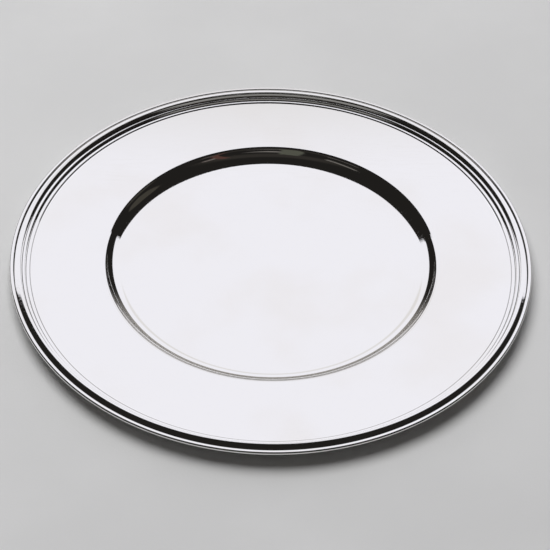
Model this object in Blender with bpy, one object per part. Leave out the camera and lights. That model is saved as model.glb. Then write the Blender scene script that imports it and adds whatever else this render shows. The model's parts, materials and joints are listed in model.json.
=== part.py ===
# Round silver salver: a dished well, a plain rim and an applied reeded border.
# All sizes are in metres. The salver stands on z = 0 and turns about the Z axis.

import math

import bmesh
import bpy

# Body, one spun sheet
DIAMETER = 0.300
SHEET = 0.0012
EDGE_SHEET = 0.0005  # the sheet is thinned where the binding folds over it
FLOOR_RADIUS = 0.0852
WELL_WALL_RADIUS = 0.0128  # the hollow curve of the well wall, in section
WELL_WALL_ANGLE = math.radians(49.0)  # how far that curve turns up from the floor
WELL_EDGE_CURVE = 0.0030  # the round turn from the wall onto the rim, in section

# Border, from the rim outwards. Crests and the lip are measured above the plain rim,
# and a crest's place is its distance from the inner foot of its own piece.
INNER_THREAD_WIDTH = 0.0021
INNER_THREAD_CREST = 0.0005
INNER_THREAD_CREST_PLACE = 0.0005
OUTER_THREAD_WIDTH = 0.0021
OUTER_THREAD_CREST = 0.0023
OUTER_THREAD_CREST_PLACE = 0.0008
THREAD_ROUND = 0.00025  # rounding between a thread's steep inner side and its top, in section
THREAD_SLOPE = math.tan(math.radians(4.0))  # from its crest a thread still climbs outwards
ROLL_WIDTH = 0.00485
ROLL_CREST = 0.00465
ROLL_CREST_PLACE = 0.0010
ROLL_ROUND = 0.0003  # rounding between the roll's steep inner side and its back
ROLL_WALL = 0.0005
ROLL_FOOT_WIDTH = 0.0012  # the roll's outer foot, which is soldered down beside the lip
FILLING_SETBACK = 0.0008  # the solder stops this short of the roll's outer foot
LIP_WIDTH = 0.00225
LIP_HEIGHT = 0.0039
LIP_STEP = 0.00023  # the lip stands this far above the roll's outer foot
LIP_ROUND = 0.0004  # the lip's inner edge is rounded over this width

# Binding folded over the edge of the sheet, and the band that backs the border from below
BINDING_STRIP = 0.0004
BINDING_LAP = 0.0021  # the lower leg reaches this far in from the outer edge
BAND_WIDTH = 0.0042
BAND_DEPTH = 0.0012

SOLDER_GAP = 0.0002  # between any two soldered pieces

# Facets round the axis, and along each curved stretch of a section
SEGMENTS = 72
WALL_STEPS = 5
EDGE_STEPS = 3
CREST_STEPS = 4
NOSE_STEPS = 4

# Radii that follow from the sizes above
EDGE_RADIUS = DIAMETER / 2
LIP_RADIUS = EDGE_RADIUS - LIP_WIDTH
ROLL_RADIUS = LIP_RADIUS - ROLL_WIDTH
OUTER_THREAD_RADIUS = ROLL_RADIUS - OUTER_THREAD_WIDTH
INNER_THREAD_RADIUS = OUTER_THREAD_RADIUS - INNER_THREAD_WIDTH
WELL_EDGE_RADIUS = FLOOR_RADIUS + (WELL_WALL_RADIUS + WELL_EDGE_CURVE) * math.sin(WELL_WALL_ANGLE)
RIM_HEIGHT = SHEET + (WELL_WALL_RADIUS + WELL_EDGE_CURVE) * (1 - math.cos(WELL_WALL_ANGLE))

# Where each thread meets the next piece outwards
INNER_THREAD_TOP = INNER_THREAD_CREST + THREAD_SLOPE * (INNER_THREAD_WIDTH - INNER_THREAD_CREST_PLACE)
OUTER_THREAD_TOP = OUTER_THREAD_CREST + THREAD_SLOPE * (OUTER_THREAD_WIDTH - OUTER_THREAD_CREST_PLACE)

# Under the roll the sheet slopes up from the plain rim to the level that carries the lip
SEAT_RISE = LIP_HEIGHT - BINDING_STRIP - SOLDER_GAP
SEAT_SLOPE = SEAT_RISE / ROLL_WIDTH
SEAT_ANGLE = math.atan(SEAT_SLOPE)


def clear_scene():
    for obj in list(bpy.data.objects):
        bpy.data.objects.remove(obj, do_unlink=True)


def seat_height(radius):
    """Top of the sheet under the border, above the end of the plain rim."""
    return SEAT_SLOPE * (radius - ROLL_RADIUS) if radius > ROLL_RADIUS else 0.0


def arc(centre, radius, start, end, steps):
    """Points on a circle in section, from one angle to the other, both included."""
    turns = [start + (end - start) * step / steps for step in range(steps + 1)]
    return [(centre[0] + radius * math.cos(t), centre[1] + radius * math.sin(t)) for t in turns]


def risen(foot, crest, rounding):
    """A steep straight side from a foot, rounded over at its top to lie flat at the crest."""
    centre = (crest[0], crest[1] - rounding)
    lean = math.atan2(centre[1] - foot[1], centre[0] - foot[0])
    lean += math.asin(rounding / math.dist(foot, centre))
    return [foot] + arc(centre, rounding, lean + math.pi / 2, math.pi / 2, CREST_STEPS)


def fallen(crest, foot):
    """A parabola from just past a crest down to an outer foot."""
    shares = [step / CREST_STEPS for step in range(1, CREST_STEPS + 1)]
    return [
        (crest[0] + (foot[0] - crest[0]) * share, crest[1] - (crest[1] - foot[1]) * share**2)
        for share in shares
    ]


def body_outline():
    """Closed half section of the sheet: out along its top, back along its underside."""
    wall_centre = (FLOOR_RADIUS, SHEET + WELL_WALL_RADIUS)
    edge_centre = (WELL_EDGE_RADIUS, RIM_HEIGHT - WELL_EDGE_CURVE)
    up, down = math.pi / 2, -math.pi / 2
    top = [(0.0, SHEET)]
    top += arc(wall_centre, WELL_WALL_RADIUS, down, down + WELL_WALL_ANGLE, WALL_STEPS)
    top += arc(edge_centre, WELL_EDGE_CURVE, up + WELL_WALL_ANGLE, up, EDGE_STEPS)[1:]
    top.append((INNER_THREAD_RADIUS, RIM_HEIGHT))
    top.append((ROLL_RADIUS, RIM_HEIGHT))
    top.append((LIP_RADIUS, RIM_HEIGHT + SEAT_RISE))
    sheet_edge = EDGE_RADIUS - BINDING_STRIP - SOLDER_GAP
    top.append((sheet_edge, RIM_HEIGHT + SEAT_RISE))

    thinned = EDGE_RADIUS - BINDING_LAP - SOLDER_GAP
    bend = SHEET * math.tan(SEAT_ANGLE / 2)
    underside = [
        (sheet_edge, RIM_HEIGHT + SEAT_RISE - EDGE_SHEET),
        (thinned, RIM_HEIGHT + SEAT_RISE - EDGE_SHEET),
        (min(thinned, LIP_RADIUS + bend), RIM_HEIGHT + SEAT_RISE - SHEET),
        (ROLL_RADIUS + bend, RIM_HEIGHT - SHEET),
        (INNER_THREAD_RADIUS, RIM_HEIGHT - SHEET),
    ]
    underside += arc(edge_centre, WELL_EDGE_CURVE - SHEET, up, up + WELL_WALL_ANGLE, EDGE_STEPS)
    underside += arc(wall_centre, WELL_WALL_RADIUS + SHEET, down + WELL_WALL_ANGLE, down, WALL_STEPS)[1:]
    underside.append((0.0, 0.0))
    return top + underside


def thread_outline(radius, width, foot_height, crest, crest_place):
    """A drawn wire with a flat base on the sheet, a steep inner side and a sloping top."""
    inner = radius + SOLDER_GAP / 2
    outer = radius + width - SOLDER_GAP / 2
    crest_radius = radius + crest_place
    top = risen((inner, foot_height), (crest_radius, crest), THREAD_ROUND)
    top.append((outer, crest + THREAD_SLOPE * (outer - crest_radius)))
    base = [(outer, SOLDER_GAP), (inner, SOLDER_GAP)]
    return top + base


def inner_thread_outline():
    return thread_outline(
        INNER_THREAD_RADIUS,
        INNER_THREAD_WIDTH,
        1.5 * SOLDER_GAP,
        INNER_THREAD_CREST,
        INNER_THREAD_CREST_PLACE,
    )


def outer_thread_outline():
    return thread_outline(
        OUTER_THREAD_RADIUS,
        OUTER_THREAD_WIDTH,
        INNER_THREAD_TOP,
        OUTER_THREAD_CREST,
        OUTER_THREAD_CREST_PLACE,
    )


def roll_curve(inset):
    """The roll's steep inner side and falling back, drawn in by the inset."""
    inner = (ROLL_RADIUS + SOLDER_GAP / 2 + inset, OUTER_THREAD_TOP - inset)
    crest = (ROLL_RADIUS + ROLL_CREST_PLACE + inset, ROLL_CREST - inset)
    outer = (LIP_RADIUS - SOLDER_GAP / 2 - inset, LIP_HEIGHT - LIP_STEP - inset)
    return risen(inner, crest, ROLL_ROUND) + fallen(crest, outer)


def cut_short(curve, radius):
    """The curve as far as a radius, ending exactly there."""
    kept = [point for point in curve if point[0] < radius]
    before, after = kept[-1], curve[len(kept)]
    share = (radius - before[0]) / (after[0] - before[0])
    return kept + [(radius, before[1] + share * (after[1] - before[1]))]


def roll_outline():
    """A hollow strip, open below, that stands on the sloping sheet along both feet."""
    outside = roll_curve(0.0)
    inside = cut_short(roll_curve(ROLL_WALL), outside[-1][0] - ROLL_FOOT_WIDTH)
    feet = [
        (curve[end][0], seat_height(curve[end][0]) + SOLDER_GAP)
        for curve, end in ((outside, -1), (inside, -1), (inside, 0), (outside, 0))
    ]
    return outside + feet[:2] + inside[::-1] + feet[2:]


def filling_outline():
    """Solder that fills the roll, short of the narrow corner at its outer foot."""
    foot = LIP_RADIUS - SOLDER_GAP / 2 - ROLL_FOOT_WIDTH
    top = cut_short(roll_curve(ROLL_WALL + SOLDER_GAP), foot - FILLING_SETBACK)
    base = [(radius, seat_height(radius) + SOLDER_GAP) for radius in (top[-1][0], top[0][0])]
    return top + base


def binding_outline():
    """A strip folded round the thinned edge of the sheet, with a round nose."""
    thickness = EDGE_SHEET + 2 * (BINDING_STRIP + SOLDER_GAP)
    lip_start = LIP_RADIUS + SOLDER_GAP / 2
    lap_end = EDGE_RADIUS - BINDING_LAP
    nose = thickness / 2
    nose_centre = (EDGE_RADIUS - nose, LIP_HEIGHT - nose)
    slot_top = LIP_HEIGHT - BINDING_STRIP
    slot_bottom = LIP_HEIGHT - thickness + BINDING_STRIP
    slot_end = EDGE_RADIUS - BINDING_STRIP
    outside = []
    for step in range(NOSE_STEPS + 1):
        turn = math.pi / 2 * step / NOSE_STEPS
        outside.append((
            lip_start + LIP_ROUND * (1 - math.cos(turn)),
            LIP_HEIGHT - LIP_STEP * (1 - math.sin(turn)),
        ))
    outside += arc(nose_centre, nose, math.pi / 2, -math.pi / 2, 2 * NOSE_STEPS)
    outside.append((lap_end, LIP_HEIGHT - thickness))
    slot = [(lap_end, slot_bottom), (slot_end, slot_bottom), (slot_end, slot_top), (lip_start, slot_top)]
    return outside + slot


def band_outline():
    """A half-round strip whose flat side lies under the sloping sheet, halfway along it."""
    middle_radius = (ROLL_RADIUS + LIP_RADIUS) / 2
    below = (SHEET + SOLDER_GAP) / math.cos(SEAT_ANGLE)
    middle = (middle_radius, seat_height(middle_radius) - below)
    points = []
    for step in range(2 * CREST_STEPS + 1):
        turn = math.pi * step / (2 * CREST_STEPS)
        along = BAND_WIDTH / 2 * math.cos(turn)
        away = -BAND_DEPTH * math.sin(turn)
        points.append((
            middle[0] + along * math.cos(SEAT_ANGLE) - away * math.sin(SEAT_ANGLE),
            middle[1] + along * math.sin(SEAT_ANGLE) + away * math.cos(SEAT_ANGLE),
        ))
    return points


def metal(name, colour, roughness):
    material = bpy.data.materials.new(name)
    material.use_nodes = True
    shader = material.node_tree.nodes["Principled BSDF"]
    shader.inputs["Base Color"].default_value = (*colour, 1.0)
    shader.inputs["Metallic"].default_value = 1.0
    shader.inputs["Roughness"].default_value = roughness
    material.diffuse_color = (*colour, 1.0)
    return material


def turned(name, outline, material, parent):
    """Spins a closed half section about the Z axis and closes it where it meets the axis."""
    shape = bmesh.new()
    corners = [shape.verts.new((radius, 0.0, height)) for radius, height in outline]
    edges = [
        shape.edges.new((corner, corners[(index + 1) % len(corners)]))
        for index, corner in enumerate(corners)
        if corner.co.x > 0 or corners[(index + 1) % len(corners)].co.x > 0
    ]
    bmesh.ops.spin(
        shape,
        geom=corners + edges,
        cent=(0, 0, 0),
        axis=(0, 0, 1),
        angle=math.tau,
        steps=SEGMENTS,
        use_duplicate=False,
    )
    bmesh.ops.remove_doubles(shape, verts=shape.verts, dist=1e-6)
    bmesh.ops.recalc_face_normals(shape, faces=shape.faces)
    mesh = bpy.data.meshes.new(name)
    shape.to_mesh(mesh)
    shape.free()
    mesh.shade_smooth()
    mesh.set_sharp_from_angle(angle=math.radians(35))
    mesh.materials.append(material)
    piece = bpy.data.objects.new(name, mesh)
    piece.parent = parent
    bpy.context.scene.collection.objects.link(piece)
    return piece


def holder(name, height, parent=None):
    empty = bpy.data.objects.new(name, None)
    empty.location = (0, 0, height)
    empty.parent = parent
    bpy.context.scene.collection.objects.link(empty)
    return empty


def main():
    clear_scene()
    salver = holder("salver", 0.0)
    border = holder("border", RIM_HEIGHT, salver)

    polished = (0.93, 0.92, 0.90)
    turned("salver_body", body_outline(), metal("body_silver", polished, 0.05), salver)
    turned("inner_thread", inner_thread_outline(), metal("inner_thread_silver", polished, 0.06), border)
    turned("outer_thread", outer_thread_outline(), metal("outer_thread_silver", polished, 0.06), border)
    turned("border_roll", roll_outline(), metal("roll_silver", polished, 0.05), border)
    turned("border_filling", filling_outline(), metal("soft_solder", (0.52, 0.52, 0.54), 0.5), border)
    turned("edge_binding", binding_outline(), metal("binding_silver", polished, 0.07), border)
    turned("under_border", band_outline(), metal("band_silver", (0.86, 0.85, 0.83), 0.12), border)


main()
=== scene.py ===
import json
import math

import bpy
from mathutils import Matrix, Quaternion, Vector

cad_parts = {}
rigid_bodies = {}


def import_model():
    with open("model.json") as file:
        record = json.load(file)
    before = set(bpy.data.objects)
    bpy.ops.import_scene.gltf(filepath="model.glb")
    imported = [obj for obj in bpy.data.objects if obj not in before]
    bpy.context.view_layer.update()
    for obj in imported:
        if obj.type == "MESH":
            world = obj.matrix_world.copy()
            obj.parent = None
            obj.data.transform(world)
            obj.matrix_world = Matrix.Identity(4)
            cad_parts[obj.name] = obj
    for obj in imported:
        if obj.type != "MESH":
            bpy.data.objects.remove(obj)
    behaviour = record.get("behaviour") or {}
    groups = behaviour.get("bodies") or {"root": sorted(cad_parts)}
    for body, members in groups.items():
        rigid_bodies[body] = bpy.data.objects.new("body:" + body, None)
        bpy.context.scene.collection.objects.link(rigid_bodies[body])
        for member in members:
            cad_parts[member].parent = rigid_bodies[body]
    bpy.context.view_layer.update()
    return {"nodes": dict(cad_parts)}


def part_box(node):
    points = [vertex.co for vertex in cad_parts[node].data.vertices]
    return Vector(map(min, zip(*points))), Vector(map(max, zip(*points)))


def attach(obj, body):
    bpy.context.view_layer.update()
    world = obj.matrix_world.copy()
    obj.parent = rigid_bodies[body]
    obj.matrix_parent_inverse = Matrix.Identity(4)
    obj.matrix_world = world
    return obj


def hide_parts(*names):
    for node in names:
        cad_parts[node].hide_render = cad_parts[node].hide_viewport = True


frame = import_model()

print("frame loaded:", len(frame["nodes"]), "nodes")

# All sizes are in metres. The salver stands on z = 0 and turns about the Z axis.

# Heights and radii that the frame already settles
solderGap = 0.0002
innerLow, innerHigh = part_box("inner_thread")
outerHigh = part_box("outer_thread")[1]
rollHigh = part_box("border_roll")[1]
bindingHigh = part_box("edge_binding")[1]
rimHeight = innerLow[2] - solderGap        # top of the plain rim where the border starts
edgeRadius = bindingHigh[0]
lipRadius = rollHigh[0] + solderGap / 2
rollRadius = outerHigh[0] + solderGap / 2
outerThreadRadius = innerHigh[0] + solderGap / 2
lipHeight = bindingHigh[2] - rimHeight     # border heights are measured above the rim
innerTop = innerHigh[2] - rimHeight
outerTop = outerHigh[2] - rimHeight

turning = {
    "segments": 512,
    "poleRadius": 0.002,      # the smallest ring before a pole is closed
    "weld": 0.000005,
    "support": 0.00025,       # a ring this far into each flat keeps its shading true
    "creaseAngle": math.radians(30),
    "creaseSteps": 3,
}


def deselectAll():
    if bpy.context.object and bpy.context.object.mode != "OBJECT":
        bpy.ops.object.mode_set(mode="OBJECT")
    bpy.ops.object.select_all(action="DESELECT")


def arc(centre, radius, start, end, steps):
    turns = [start + (end - start) * step / steps for step in range(steps + 1)]
    return [(centre[0] + radius * math.cos(t), centre[1] + radius * math.sin(t)) for t in turns]


def flat(start, end):
    # the two ends of a straight stretch, with a supporting ring just inside each
    share = turning["support"] / math.dist(start, end)
    nearStart = (start[0] + (end[0] - start[0]) * share, start[1] + (end[1] - start[1]) * share)
    nearEnd = (end[0] + (start[0] - end[0]) * share, end[1] + (start[1] - end[1]) * share)
    return [start, nearStart, nearEnd, end]


def risen(foot, crest, rounding, steps):
    # a steep straight side from a foot, rounded over at its top to lie flat at the crest
    centre = (crest[0], crest[1] - rounding)
    lean = math.atan2(centre[1] - foot[1], centre[0] - foot[0])
    lean += math.asin(rounding / math.dist(foot, centre))
    return [foot] + arc(centre, rounding, lean + math.pi / 2, math.pi / 2, steps)


def quarter(foot, crest, steps):
    # a quarter ellipse, upright at its foot and flat at its crest
    turns = [math.pi / 2 * step / steps for step in range(steps + 1)]
    return [(crest[0] - (crest[0] - foot[0]) * math.cos(turn),
             foot[1] + (crest[1] - foot[1]) * math.sin(turn)) for turn in turns]


def fallen(crest, foot, steps):
    # a parabola from just past a crest down to an outer foot
    shares = [step / steps for step in range(1, steps + 1)]
    return [(crest[0] + (foot[0] - crest[0]) * share,
             crest[1] - (crest[1] - foot[1]) * share**2) for share in shares]


def lifted(section):
    return [(radius, height + rimHeight) for radius, height in section]


def nextRing(last, point):
    bpy.ops.mesh.extrude_edges_move()
    grow = point[0] / last[0]
    bpy.ops.transform.resize(value=(grow, grow, 1), center_override=(0, 0, 0))
    bpy.ops.transform.translate(value=(0, 0, point[1] - last[1]))


def turnSection(name, section, poles=False):
    # one ring for each point of the half section, each extruded from the last
    deselectAll()
    bpy.ops.mesh.primitive_circle_add(
        vertices=turning["segments"],
        radius=section[0][0],
        location=(0, 0, section[0][1]),
        fill_type="TRIFAN" if poles else "NOTHING",
    )
    piece = bpy.context.active_object
    piece.name = piece.data.name = name
    bpy.ops.object.transform_apply(location=True, rotation=True, scale=True)
    bpy.ops.object.mode_set(mode="EDIT")
    if poles:
        bpy.ops.mesh.select_all(action="DESELECT")
        bpy.ops.mesh.select_non_manifold()
    else:
        bpy.ops.mesh.select_all(action="SELECT")
    for last, point in zip(section, section[1:]):
        nextRing(last, point)
    if poles:
        bpy.ops.mesh.extrude_edges_move()
        bpy.ops.mesh.merge(type="CENTER")
    else:
        nextRing(section[-1], section[0])
    bpy.ops.mesh.select_all(action="SELECT")
    bpy.ops.mesh.remove_doubles(threshold=turning["weld"])
    bpy.ops.mesh.normals_make_consistent(inside=False)
    bpy.ops.object.mode_set(mode="OBJECT")
    return piece


def softenCreases(piece, width):
    bevel = piece.modifiers.new("creases", "BEVEL")
    bevel.width = width
    bevel.segments = turning["creaseSteps"]
    bevel.limit_method = "ANGLE"
    bevel.angle_limit = turning["creaseAngle"]
    bpy.context.view_layer.objects.active = piece
    bpy.ops.object.modifier_apply(modifier=bevel.name)
    bpy.ops.object.shade_smooth()


# Node helpers

def addNode(tree, kind, inputs=(), **settings):
    made = tree.nodes.new("ShaderNode" + kind)
    for name, value in settings.items():
        setattr(made, name, value)
    for name, value in dict(inputs).items():
        if isinstance(value, bpy.types.NodeSocket):
            tree.links.new(value, made.inputs[name])
        else:
            made.inputs[name].default_value = value
    return made


def calculate(tree, operation, first, second):
    return addNode(tree, "Math", {0: first, 1: second}, operation=operation).outputs[0]


def ranged(tree, value, fromLow, fromHigh, toLow=0.0, toHigh=1.0):
    made = addNode(tree, "MapRange", {
        "Value": value, "From Min": fromLow, "From Max": fromHigh, "To Min": toLow, "To Max": toHigh,
    }, interpolation_type="SMOOTHSTEP")
    return made.outputs[0]


def mixedColour(tree, factor, first, second):
    made = addNode(tree, "Mix", data_type="RGBA")
    for slot, value in ((0, factor), (6, first), (7, second)):
        if isinstance(value, bpy.types.NodeSocket):
            tree.links.new(value, made.inputs[slot])
        else:
            made.inputs[slot].default_value = value if slot == 0 else (*value, 1)
    return made.outputs[2]


def newMaterial(name):
    material = bpy.data.materials.new(name)
    material.use_nodes = True
    tree = material.node_tree
    return material, tree, tree.nodes["Principled BSDF"]


# Polished silver: a hand-finished sheet with faint waviness, fine polishing scratches that
# run every way, slight warm staining, and tarnish left where a cloth can't reach
silver = {
    "clean": (0.955, 0.950, 0.938),
    "warm": (0.930, 0.915, 0.885),
    "tarnish": (0.075, 0.062, 0.050),
    "stainScale": 14.0,
    "stainFrom": 0.45,         # noise levels between which the warm stain comes in
    "stainTo": 0.72,
    "smooth": 0.020,           # roughness of the clean polish
    "cloudy": 0.050,           # roughness where handling has dulled the polish
    "cloudScale": 30.0,
    "cloudFrom": 0.35,
    "cloudTo": 0.75,
    "scratchRoughness": 0.07,
    "scratchFrom": 0.62,       # noise levels between which a scratch shows
    "scratchTo": 0.74,
    "scratchLines": 2600.0,    # across a scratch, per metre
    "scratchLength": 45.0,     # along it
    "scratchTurns": (0.35, 1.45, 2.60),
    "scratchDepth": 0.0000012,
    "wave": 0.000010,
    "waveScale": 26.0,
    "tarnishGrain": 900.0,
    "tarnishRoughness": 0.12,
    "grainFrom": 0.25,
    "grainTo": 0.55,
    "grainFaint": 0.75,        # tarnish left where its grain is thinnest
}


def scratches(tree, place):
    # thin lines in three directions, kept where a stretched noise peaks
    total = None
    for turn in silver["scratchTurns"]:
        turned = addNode(tree, "Mapping", {
            "Vector": place, "Rotation": (0, 0, turn),
            "Scale": (silver["scratchLength"], silver["scratchLines"], silver["scratchLength"]),
        }, vector_type="POINT").outputs[0]
        noise = addNode(tree, "TexNoise", {"Vector": turned, "Scale": 1.0, "Detail": 1.0}).outputs[0]
        line = ranged(tree, noise, silver["scratchFrom"], silver["scratchTo"])
        total = line if total is None else calculate(tree, "MAXIMUM", total, line)
    return total


def makeSilver(name, creases=(), dull=0.0):
    # each crease is (radius, reach, strength): tarnish is strongest at the radius and gone past its reach
    material, tree, shader = newMaterial(name)
    place = addNode(tree, "TexCoord").outputs["Object"]
    stain = addNode(tree, "TexNoise", {"Vector": place, "Scale": silver["stainScale"], "Detail": 3.0})
    cloud = addNode(tree, "TexNoise", {"Vector": place, "Scale": silver["cloudScale"], "Detail": 5.0})
    line = scratches(tree, place)

    staining = ranged(tree, stain.outputs[0], silver["stainFrom"], silver["stainTo"])
    colour = mixedColour(tree, staining, silver["clean"], silver["warm"])
    rough = ranged(tree, cloud.outputs[0], silver["cloudFrom"], silver["cloudTo"],
                   silver["smooth"] + dull, silver["cloudy"] + dull)
    scratched = calculate(tree, "MULTIPLY", line, silver["scratchRoughness"])
    rough = calculate(tree, "ADD", rough, scratched)
    if creases:
        flatPlace = addNode(tree, "VectorMath", {0: place, 1: (1, 1, 0)}, operation="MULTIPLY").outputs[0]
        radius = addNode(tree, "VectorMath", {0: flatPlace}, operation="LENGTH").outputs["Value"]
        grain = addNode(tree, "TexNoise", {"Vector": place, "Scale": silver["tarnishGrain"], "Detail": 2.0})
        for centre, reach, strength in creases:
            away = calculate(tree, "ABSOLUTE", calculate(tree, "SUBTRACT", radius, centre), 0.0)
            near = ranged(tree, away, reach, 0.0, 0.0, strength)
            broken = ranged(tree, grain.outputs[0], silver["grainFrom"], silver["grainTo"],
                            silver["grainFaint"], 1.0)
            amount = calculate(tree, "MULTIPLY", near, broken)
            colour = mixedColour(tree, amount, colour, silver["tarnish"])
            rougher = calculate(tree, "MULTIPLY", amount, silver["tarnishRoughness"])
            rough = calculate(tree, "ADD", rough, rougher)
    tree.links.new(colour, shader.inputs["Base Color"])
    tree.links.new(rough, shader.inputs["Roughness"])
    shader.inputs["Metallic"].default_value = 1

    wave = addNode(tree, "TexNoise", {"Vector": place, "Scale": silver["waveScale"], "Detail": 0.0})
    wavy = addNode(tree, "Bump", {"Height": wave.outputs[0], "Strength": 1.0, "Distance": silver["wave"]})
    fine = addNode(tree, "Bump", {
        "Height": line, "Strength": 1.0, "Distance": silver["scratchDepth"], "Normal": wavy.outputs[0],
    }, invert=True)
    tree.links.new(fine.outputs[0], shader.inputs["Normal"])
    return material


def finishPiece(piece, material, replaced):
    piece.data.materials.clear()
    piece.data.materials.append(material)
    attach(piece, "root")
    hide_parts(replaced)


# Body: one spun sheet with a flat well, a hollow wall, a plain rim and a raised seat

body = {
    "sheet": 0.0012,
    "edgeSheet": 0.0005,
    "floorRadius": 0.0852,
    "floorRings": (0.02, 0.05, 0.07),
    "wallRadius": 0.0128,
    "wallAngle": math.radians(49),
    "wallSteps": 24,
    "wellEdgeCurve": 0.0030,   # the round turn from the wall onto the rim, in section
    "wellEdgeSteps": 16,
    "innerThreadWidth": 0.0021,
    "tarnish": 0.5,
    "tarnishReach": 0.0004,
    "creaseWidth": 0.0001,
}

binding = {
    "strip": 0.0004,
    "lap": 0.0021,             # the lower leg reaches this far in from the outer edge
    "lipSeam": 0.00005,
    "lipStep": 0.00023,        # the roll meets the lip this far below its top
    "lipRound": 0.0004,
    "lipSteps": 8,
    "noseSteps": 16,
    "creaseWidth": 0.00006,
    "tarnish": 0.9,
    "tarnishReach": 0.0003,
}

# under the roll the sheet slopes up from the plain rim to the level that carries the lip
seatRise = lipHeight - binding["strip"] - solderGap
seatAngle = math.atan(seatRise / (lipRadius - rollRadius))


def seatHeight(radius):
    return max(0.0, math.tan(seatAngle) * (radius - rollRadius))


def makeBody():
    sheet, wall, edge = body["sheet"], body["wallRadius"], body["wellEdgeCurve"]
    angle, pole = body["wallAngle"], turning["poleRadius"]
    up, down = math.pi / 2, -math.pi / 2
    wallCentre = (body["floorRadius"], sheet + wall)
    edgeCentre = (wallCentre[0] + (wall + edge) * math.sin(angle),
                  wallCentre[1] - (wall + edge) * math.cos(angle))
    hollow = arc(wallCentre, wall, down, down + angle, body["wallSteps"])
    turn = arc(edgeCentre, edge, up + angle, up, body["wellEdgeSteps"])
    rings = body["floorRings"]
    top = [(pole, sheet)] + [(ring, sheet) for ring in rings[:-1]]
    top += flat((rings[-1], sheet), hollow[0])[:-1] + hollow + turn[1:-1]
    top += flat(turn[-1], (rollRadius, rimHeight))
    sheetEdge = edgeRadius - binding["strip"] - solderGap
    seat = rimHeight + seatRise
    top += [(lipRadius, seat), (sheetEdge, seat)]

    thinned = edgeRadius - binding["lap"] - solderGap
    bend = sheet * math.tan(seatAngle / 2)
    underside = [
        (sheetEdge, seat - body["edgeSheet"]),
        (thinned, seat - body["edgeSheet"]),
        (min(thinned, lipRadius + bend), seat - sheet),
    ]
    backTurn = arc(edgeCentre, edge - sheet, up, up + angle, body["wellEdgeSteps"])
    backHollow = arc(wallCentre, wall + sheet, down + angle, down, body["wallSteps"])
    underside += flat((rollRadius + bend, rimHeight - sheet), backTurn[0])[:-1] + backTurn
    underside += backHollow[1:-1] + flat(backHollow[-1], (rings[-1], 0.0))
    underside += [(ring, 0.0) for ring in reversed(rings[:-1])] + [(pole, 0.0)]
    piece = turnSection("silverBody", top + underside, poles=True)
    softenCreases(piece, body["creaseWidth"])
    return piece


# where the plain rim ends and the border starts
innerFoot = outerThreadRadius - body["innerThreadWidth"]
bodySilver = makeSilver("polishedBodySilver", creases=(
    (innerFoot, body["tarnishReach"], body["tarnish"]),))
finishPiece(makeBody(), bodySilver, "salver_body")
print("body turned")


# Threads: two drawn wires, each with a steep inner side and a top that climbs gently outwards

threads = {
    "seam": 0.00010,           # what is left open on both sides of each
    "steps": 12,
    "slope": math.tan(math.radians(4)),
    "innerCrestPlace": 0.0005,
    "outerCrestPlace": 0.0008,
    "round": 0.00025,          # between the steep inner side and the top, in section
    "creaseWidth": 0.00004,
    "tarnish": 0.5,
    "tarnishReach": 0.0003,
    "innerBackReach": 0.0002,  # tarnish at the outer side of the inner thread
    "outerBackReach": 0.00018,
}


def makeThread(name, start, end, footHeight, top, crestPlace):
    inner, outer = start + threads["seam"] / 2, end - threads["seam"] / 2
    crest = (start + crestPlace, top - threads["slope"] * (outer - start - crestPlace))
    section = risen((inner, footHeight), crest, threads["round"], threads["steps"])
    section += flat(crest, (outer, top))[1:] + [(outer, solderGap), (inner, solderGap)]
    piece = turnSection(name, lifted(section))
    softenCreases(piece, threads["creaseWidth"])
    return piece


innerThread = makeThread("innerReed", innerFoot, outerThreadRadius, 1.5 * solderGap, innerTop,
                         threads["innerCrestPlace"])
innerSilver = makeSilver("innerReedSilver", creases=(
    (innerFoot, threads["tarnishReach"], threads["tarnish"]),
    (outerThreadRadius, threads["innerBackReach"], threads["tarnish"])))
finishPiece(innerThread, innerSilver, "inner_thread")

outerThread = makeThread("outerReed", outerThreadRadius, rollRadius, innerTop, outerTop,
                         threads["outerCrestPlace"])
outerSilver = makeSilver("outerReedSilver", creases=(
    (outerThreadRadius, threads["tarnishReach"], threads["tarnish"]),
    (rollRadius, threads["outerBackReach"], threads["tarnish"])))
finishPiece(outerThread, outerSilver, "outer_thread")
print("threads turned")


# Roll: a hollow struck strip with its highest line near its inner foot

roll = {
    "crestPlace": 0.0010,
    "round": 0.0003,
    "wall": 0.0005,
    "footWidth": 0.0012,       # its outer foot, soldered down beside the lip
    "steps": 16,
    "creaseWidth": 0.00004,
    "tarnish": 0.5,
    "tarnishReach": 0.0003,
}


def cutShort(curve, radius):
    # the curve up to a radius, ending exactly there
    kept = [point for point in curve if point[0] < radius]
    before, after = kept[-1], curve[len(kept)]
    share = (radius - before[0]) / (after[0] - before[0])
    return kept + [(radius, before[1] + share * (after[1] - before[1]))]


def rollCurve(inset):
    foot = (rollRadius + threads["seam"] / 2 + inset, outerTop - inset)
    crest = (rollRadius + roll["crestPlace"] + inset, rollHigh[2] - rimHeight - inset)
    outer = (lipRadius - binding["lipSeam"] / 2 - inset, lipHeight - binding["lipStep"] - inset)
    return risen(foot, crest, roll["round"], roll["steps"]) + fallen(crest, outer, roll["steps"])


def makeRoll():
    outside = rollCurve(0.0)
    inside = cutShort(rollCurve(roll["wall"]), outside[-1][0] - roll["footWidth"])
    feet = [(curve[end][0], seatHeight(curve[end][0]) + solderGap)
            for curve, end in ((outside, -1), (inside, -1), (inside, 0), (outside, 0))]
    piece = turnSection("rolledBorder", lifted(outside + feet[:2] + inside[::-1] + feet[2:]))
    softenCreases(piece, roll["creaseWidth"])
    return piece


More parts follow.
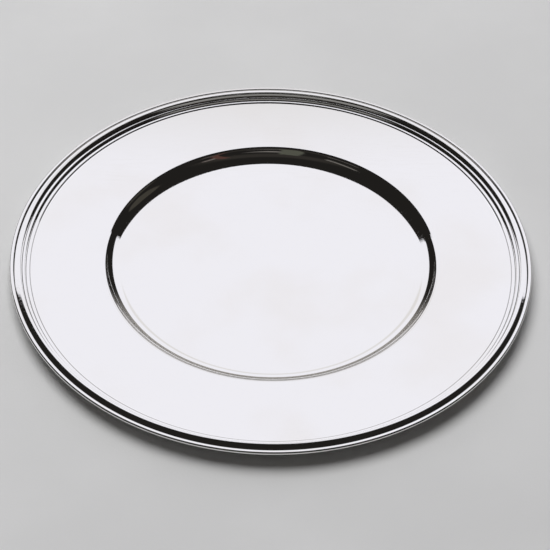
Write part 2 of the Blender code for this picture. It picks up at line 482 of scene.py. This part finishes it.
rollSilver = makeSilver("rolledBorderSilver", creases=(
    (rollRadius, roll["tarnishReach"], roll["tarnish"]),
    (lipRadius, binding["tarnishReach"], binding["tarnish"])))
finishPiece(makeRoll(), rollSilver, "border_roll")
print("roll turned")


# Binding: a strip folded round the thinned edge of the sheet, with a round nose

def makeBinding():
    strip = binding["strip"]
    thickness = body["edgeSheet"] + 2 * (strip + solderGap)
    nose = thickness / 2
    lipStart = lipRadius + binding["lipSeam"] / 2
    lapEnd = edgeRadius - binding["lap"]
    slotEnd, bottom = edgeRadius - strip, lipHeight - thickness
    inner = quarter((lipStart, lipHeight - binding["lipStep"]),
                    (lipStart + binding["lipRound"], lipHeight), binding["lipSteps"])
    nosed = arc((edgeRadius - nose, lipHeight - nose), nose, math.pi / 2, -math.pi / 2,
                binding["noseSteps"])
    section = inner[:-1] + flat(inner[-1], nosed[0])[:-1] + nosed
    section += flat(nosed[-1], (lapEnd, bottom))[1:]
    section += [(lapEnd, bottom + strip), (slotEnd, bottom + strip),
                (slotEnd, lipHeight - strip), (lipStart, lipHeight - strip)]
    piece = turnSection("boundEdge", lifted(section))
    softenCreases(piece, binding["creaseWidth"])
    return piece


bindingSilver = makeSilver("boundEdgeSilver", creases=(
    (lipRadius, binding["tarnishReach"], binding["tarnish"]),))
finishPiece(makeBinding(), bindingSilver, "edge_binding")
print("binding turned")


# Backing band: a half-round strip under the sloping seat

band = {
    "width": 0.0042,
    "depth": 0.0012,
    "steps": 24,
    "creaseWidth": 0.00006,
    "dull": 0.10,
}


def makeBand():
    middle = (rollRadius + lipRadius) / 2
    below = (body["sheet"] + solderGap) / math.cos(seatAngle)
    centre = (middle, seatHeight(middle) - below)
    section = []
    for step in range(band["steps"] + 1):
        turn = math.pi * step / band["steps"]
        along = band["width"] / 2 * math.cos(turn)
        away = -band["depth"] * math.sin(turn)
        section.append((centre[0] + along * math.cos(seatAngle) - away * math.sin(seatAngle),
                        centre[1] + along * math.sin(seatAngle) + away * math.cos(seatAngle)))
    piece = turnSection("backingBand", lifted(section))
    softenCreases(piece, band["creaseWidth"])
    return piece


finishPiece(makeBand(), makeSilver("backingBandSilver", dull=band["dull"]), "under_border")
print("band turned")


# Solder inside the roll keeps its frame node and gets a dull, grainy finish

solder = {
    "node": "border_filling",
    "light": (0.56, 0.56, 0.58),
    "dark": (0.34, 0.34, 0.37),
    "grain": 500.0,
    "colourRange": (0.35, 0.65),
    "roughRange": (0.3, 0.7),
    "pits": 1800.0,
    "pitDepth": 0.00003,
    "smooth": 0.38,
    "rough": 0.62,
}


def makeSolder():
    material, tree, shader = newMaterial("dullSolder")
    place = addNode(tree, "TexCoord").outputs["Object"]
    grain = addNode(tree, "TexNoise", {"Vector": place, "Scale": solder["grain"], "Detail": 6.0})
    pits = addNode(tree, "TexVoronoi", {"Vector": place, "Scale": solder["pits"]})
    amount = ranged(tree, grain.outputs[0], *solder["colourRange"])
    rough = ranged(tree, grain.outputs[0], *solder["roughRange"], solder["smooth"], solder["rough"])
    tree.links.new(mixedColour(tree, amount, solder["dark"], solder["light"]), shader.inputs["Base Color"])
    tree.links.new(rough, shader.inputs["Roughness"])
    pitted = addNode(tree, "Bump", {"Height": pits.outputs["Distance"], "Distance": solder["pitDepth"]})
    tree.links.new(pitted.outputs[0], shader.inputs["Normal"])
    shader.inputs["Metallic"].default_value = 1
    return material


solderMaterial = makeSolder()
for slot in bpy.data.objects[solder["node"]].material_slots:
    slot.material = solderMaterial
print("solder dressed")


# Studio: what the silver mirrors is a dark room with softboxes, each a patch of the sky
# given by its corners as (azimuth, elevation) in degrees, seen from the salver

studio = {
    "dark": (0.014, 0.013, 0.012),
    "boxes": (
        {"name": "frontLow", "colour": (0.26, 0.255, 0.25), "blur": 0.03,
         "corners": ((-152, 9), (-120, 9.5), (-90, 9.5), (-60, 9.5), (-28, 9), (-38, 29), (-90, 31),
                     (-142, 29))},
        {"name": "backdrop", "colour": (0.34, 0.32, 0.30), "blur": 0.13,
         "corners": ((64, -30), (116, -30), (112, 16), (68, 16))},
        {"name": "frontGlow", "colour": (0.030, 0.027, 0.024), "blur": 0.10,
         "corners": ((-150, 42), (-30, 42), (-35, 72), (-145, 72))},
        {"name": "sideGlow", "colour": (0.050, 0.046, 0.038), "blur": 0.012,
         "corners": ((4, 34), (9, 27), (17, 25), (23, 30), (24, 42), (18, 50), (9, 50), (4, 43))},
        {"name": "leftStrip", "colour": (0.150, 0.140, 0.130), "blur": 0.012,
         "corners": ((-156, 45.5), (-132, 47.5), (-132, 53), (-156, 50))},
        {"name": "middleStrip", "colour": (0.190, 0.175, 0.165), "blur": 0.012,
         "corners": ((-121, 47.5), (-90, 48), (-62, 47.5), (-62, 53), (-90, 53.5), (-121, 53))},
        {"name": "rightStrip", "colour": (0.150, 0.130, 0.120), "blur": 0.012,
         "corners": ((-48, 47.5), (-35, 46), (-35, 51), (-48, 53))},
        {"name": "greyGreen", "colour": (0.085, 0.088, 0.070), "blur": 0.02,
         "corners": ((-112, 40), (-96, 42), (-95, 63), (-113, 63))},
        {"name": "reddish", "colour": (0.085, 0.042, 0.034), "blur": 0.012,
         "corners": ((-51, 40), (-45, 40), (-43, 62), (-50, 62))},
        {"name": "leftTop", "colour": (0.895, 0.890, 0.950), "blur": 0.012,
         "corners": ((87, 20), (87, 54.5), (98, 56.8), (106, 57.6), (112, 55.8), (117, 52.5),
                     (120.5, 48.5), (124, 42.8), (118, 25))},
        {"name": "rightTop", "colour": (0.895, 0.890, 0.950), "blur": 0.012,
         "corners": ((93, 20), (93, 54.5), (85, 56.6), (78, 57.9), (70, 58), (62, 55.6), (57.5, 52),
                     (54.3, 47), (52, 41), (60, 25))},
        {"name": "lower", "colour": (0.895, 0.890, 0.950), "blur": 0.012,
         "corners": ((119, 45), (132, 38.8), (138.5, 33), (140.5, 27.3), (129, 23.3), (117, 18),
                     (104, 11), (76, 11), (63, 18), (51, 23.5), (40.3, 27), (42.8, 31.8),
                     (49.5, 37.6), (58, 42.5))},
        {"name": "warmShade", "colour": (0.765, 0.750, 0.755), "blur": 0.03,
         "corners": ((77, 31), (107, 31), (106, 39.3), (78, 39.3))},
    ),
}


def direction(azimuth, elevation):
    azimuth, elevation = math.radians(azimuth), math.radians(elevation)
    level = math.cos(elevation)
    return Vector((level * math.cos(azimuth), level * math.sin(azimuth), math.sin(elevation)))


def boxMask(tree, look, box):
    # one inside the patch and nought outside it, blurred across each of its edges
    corners = [direction(*corner) for corner in box["corners"]]
    middle = sum(corners, Vector()).normalized()
    mask = None
    for first, second in zip(corners, corners[1:] + corners[:1]):
        side = first.cross(second).normalized()
        if side.dot(middle) < 0:
            side = -side
        across = addNode(tree, "VectorMath", {0: look, 1: side}, operation="DOT_PRODUCT")
        inside = ranged(tree, across.outputs["Value"], -box["blur"], box["blur"])
        mask = inside if mask is None else calculate(tree, "MULTIPLY", mask, inside)
    return mask


def makeStudio():
    world = bpy.data.worlds.new("studioLight")
    bpy.context.scene.world = world
    world.use_nodes = True
    tree = world.node_tree
    look = addNode(tree, "TexCoord").outputs["Generated"]
    total = studio["dark"]
    for box in studio["boxes"]:
        total = mixedColour(tree, boxMask(tree, look, box), total, box["colour"])
        total.node.label = box["name"]
    tree.links.new(total, tree.nodes["Background"].inputs["Color"])


makeStudio()


paper = {
    "size": 20,
    "height": -0.00005,        # just under the salver
    "pale": (0.735, 0.735, 0.735),
    "shaded": (0.705, 0.705, 0.705),
    "cloudScale": 9.0,
    "cloudRange": (0.35, 0.65),
    "fibreScale": 700.0,
    "fibreDepth": 0.00004,
    "roughness": 0.9,
}


def makePaper():
    deselectAll()
    bpy.ops.mesh.primitive_plane_add(size=paper["size"], location=(0, 0, paper["height"]))
    floor = bpy.context.active_object
    floor.name = floor.data.name = "paleFloor"
    bpy.ops.object.transform_apply(location=True, rotation=True, scale=True)
    material, tree, shader = newMaterial("palePaper")
    place = addNode(tree, "TexCoord").outputs["Object"]
    cloud = addNode(tree, "TexNoise", {"Vector": place, "Scale": paper["cloudScale"], "Detail": 4.0})
    fibre = addNode(tree, "TexNoise", {"Vector": place, "Scale": paper["fibreScale"], "Detail": 4.0})
    amount = ranged(tree, cloud.outputs[0], *paper["cloudRange"])
    tree.links.new(mixedColour(tree, amount, paper["shaded"], paper["pale"]), shader.inputs["Base Color"])
    raised = addNode(tree, "Bump", {"Height": fibre.outputs[0], "Distance": paper["fibreDepth"]})
    tree.links.new(raised.outputs[0], shader.inputs["Normal"])
    shader.inputs["Roughness"].default_value = paper["roughness"]
    floor.data.materials.append(material)


makePaper()


overhead = {
    "size": 1.6,
    "power": 30,
    "place": (-0.3, 0.5, 1.8),
}


def makeOverhead():
    # lights the paper, and is kept out of the silver, which mirrors the softboxes instead
    data = bpy.data.lights.new("overhead", "AREA")
    data.shape = "DISK"
    data.size = overhead["size"]
    data.energy = overhead["power"]
    lamp = bpy.data.objects.new("overhead", data)
    lamp.location = overhead["place"]
    lamp.rotation_euler = (-lamp.location).to_track_quat("-Z", "Y").to_euler()
    lamp.visible_glossy = False
    bpy.context.scene.collection.objects.link(lamp)


makeOverhead()


view = {
    "elevation": 44.386,
    "distance": 1.05,
    "centre": (0, 0, 0.00666),
    "lens": 118.79,
    "sensor": 36,
    "roll": 1.335,
    "aim": (0.002465, -0.015098, 0.00666),
}


def makeCamera():
    data = bpy.data.cameras.new("mainView")
    data.lens = view["lens"]
    data.sensor_width = view["sensor"]
    camera = bpy.data.objects.new("mainView", data)
    camera.location = Vector(view["centre"]) + direction(-90, view["elevation"]) * view["distance"]
    aim = (Vector(view["aim"]) - camera.location).to_track_quat("-Z", "Y")
    roll = Quaternion((0, 0, 1), math.radians(view["roll"]))
    camera.rotation_euler = (aim @ roll).to_euler()
    bpy.context.scene.collection.objects.link(camera)
    bpy.context.scene.camera = camera
    bpy.context.scene.view_settings.view_transform = "Standard"


makeCamera()
print("studio set")
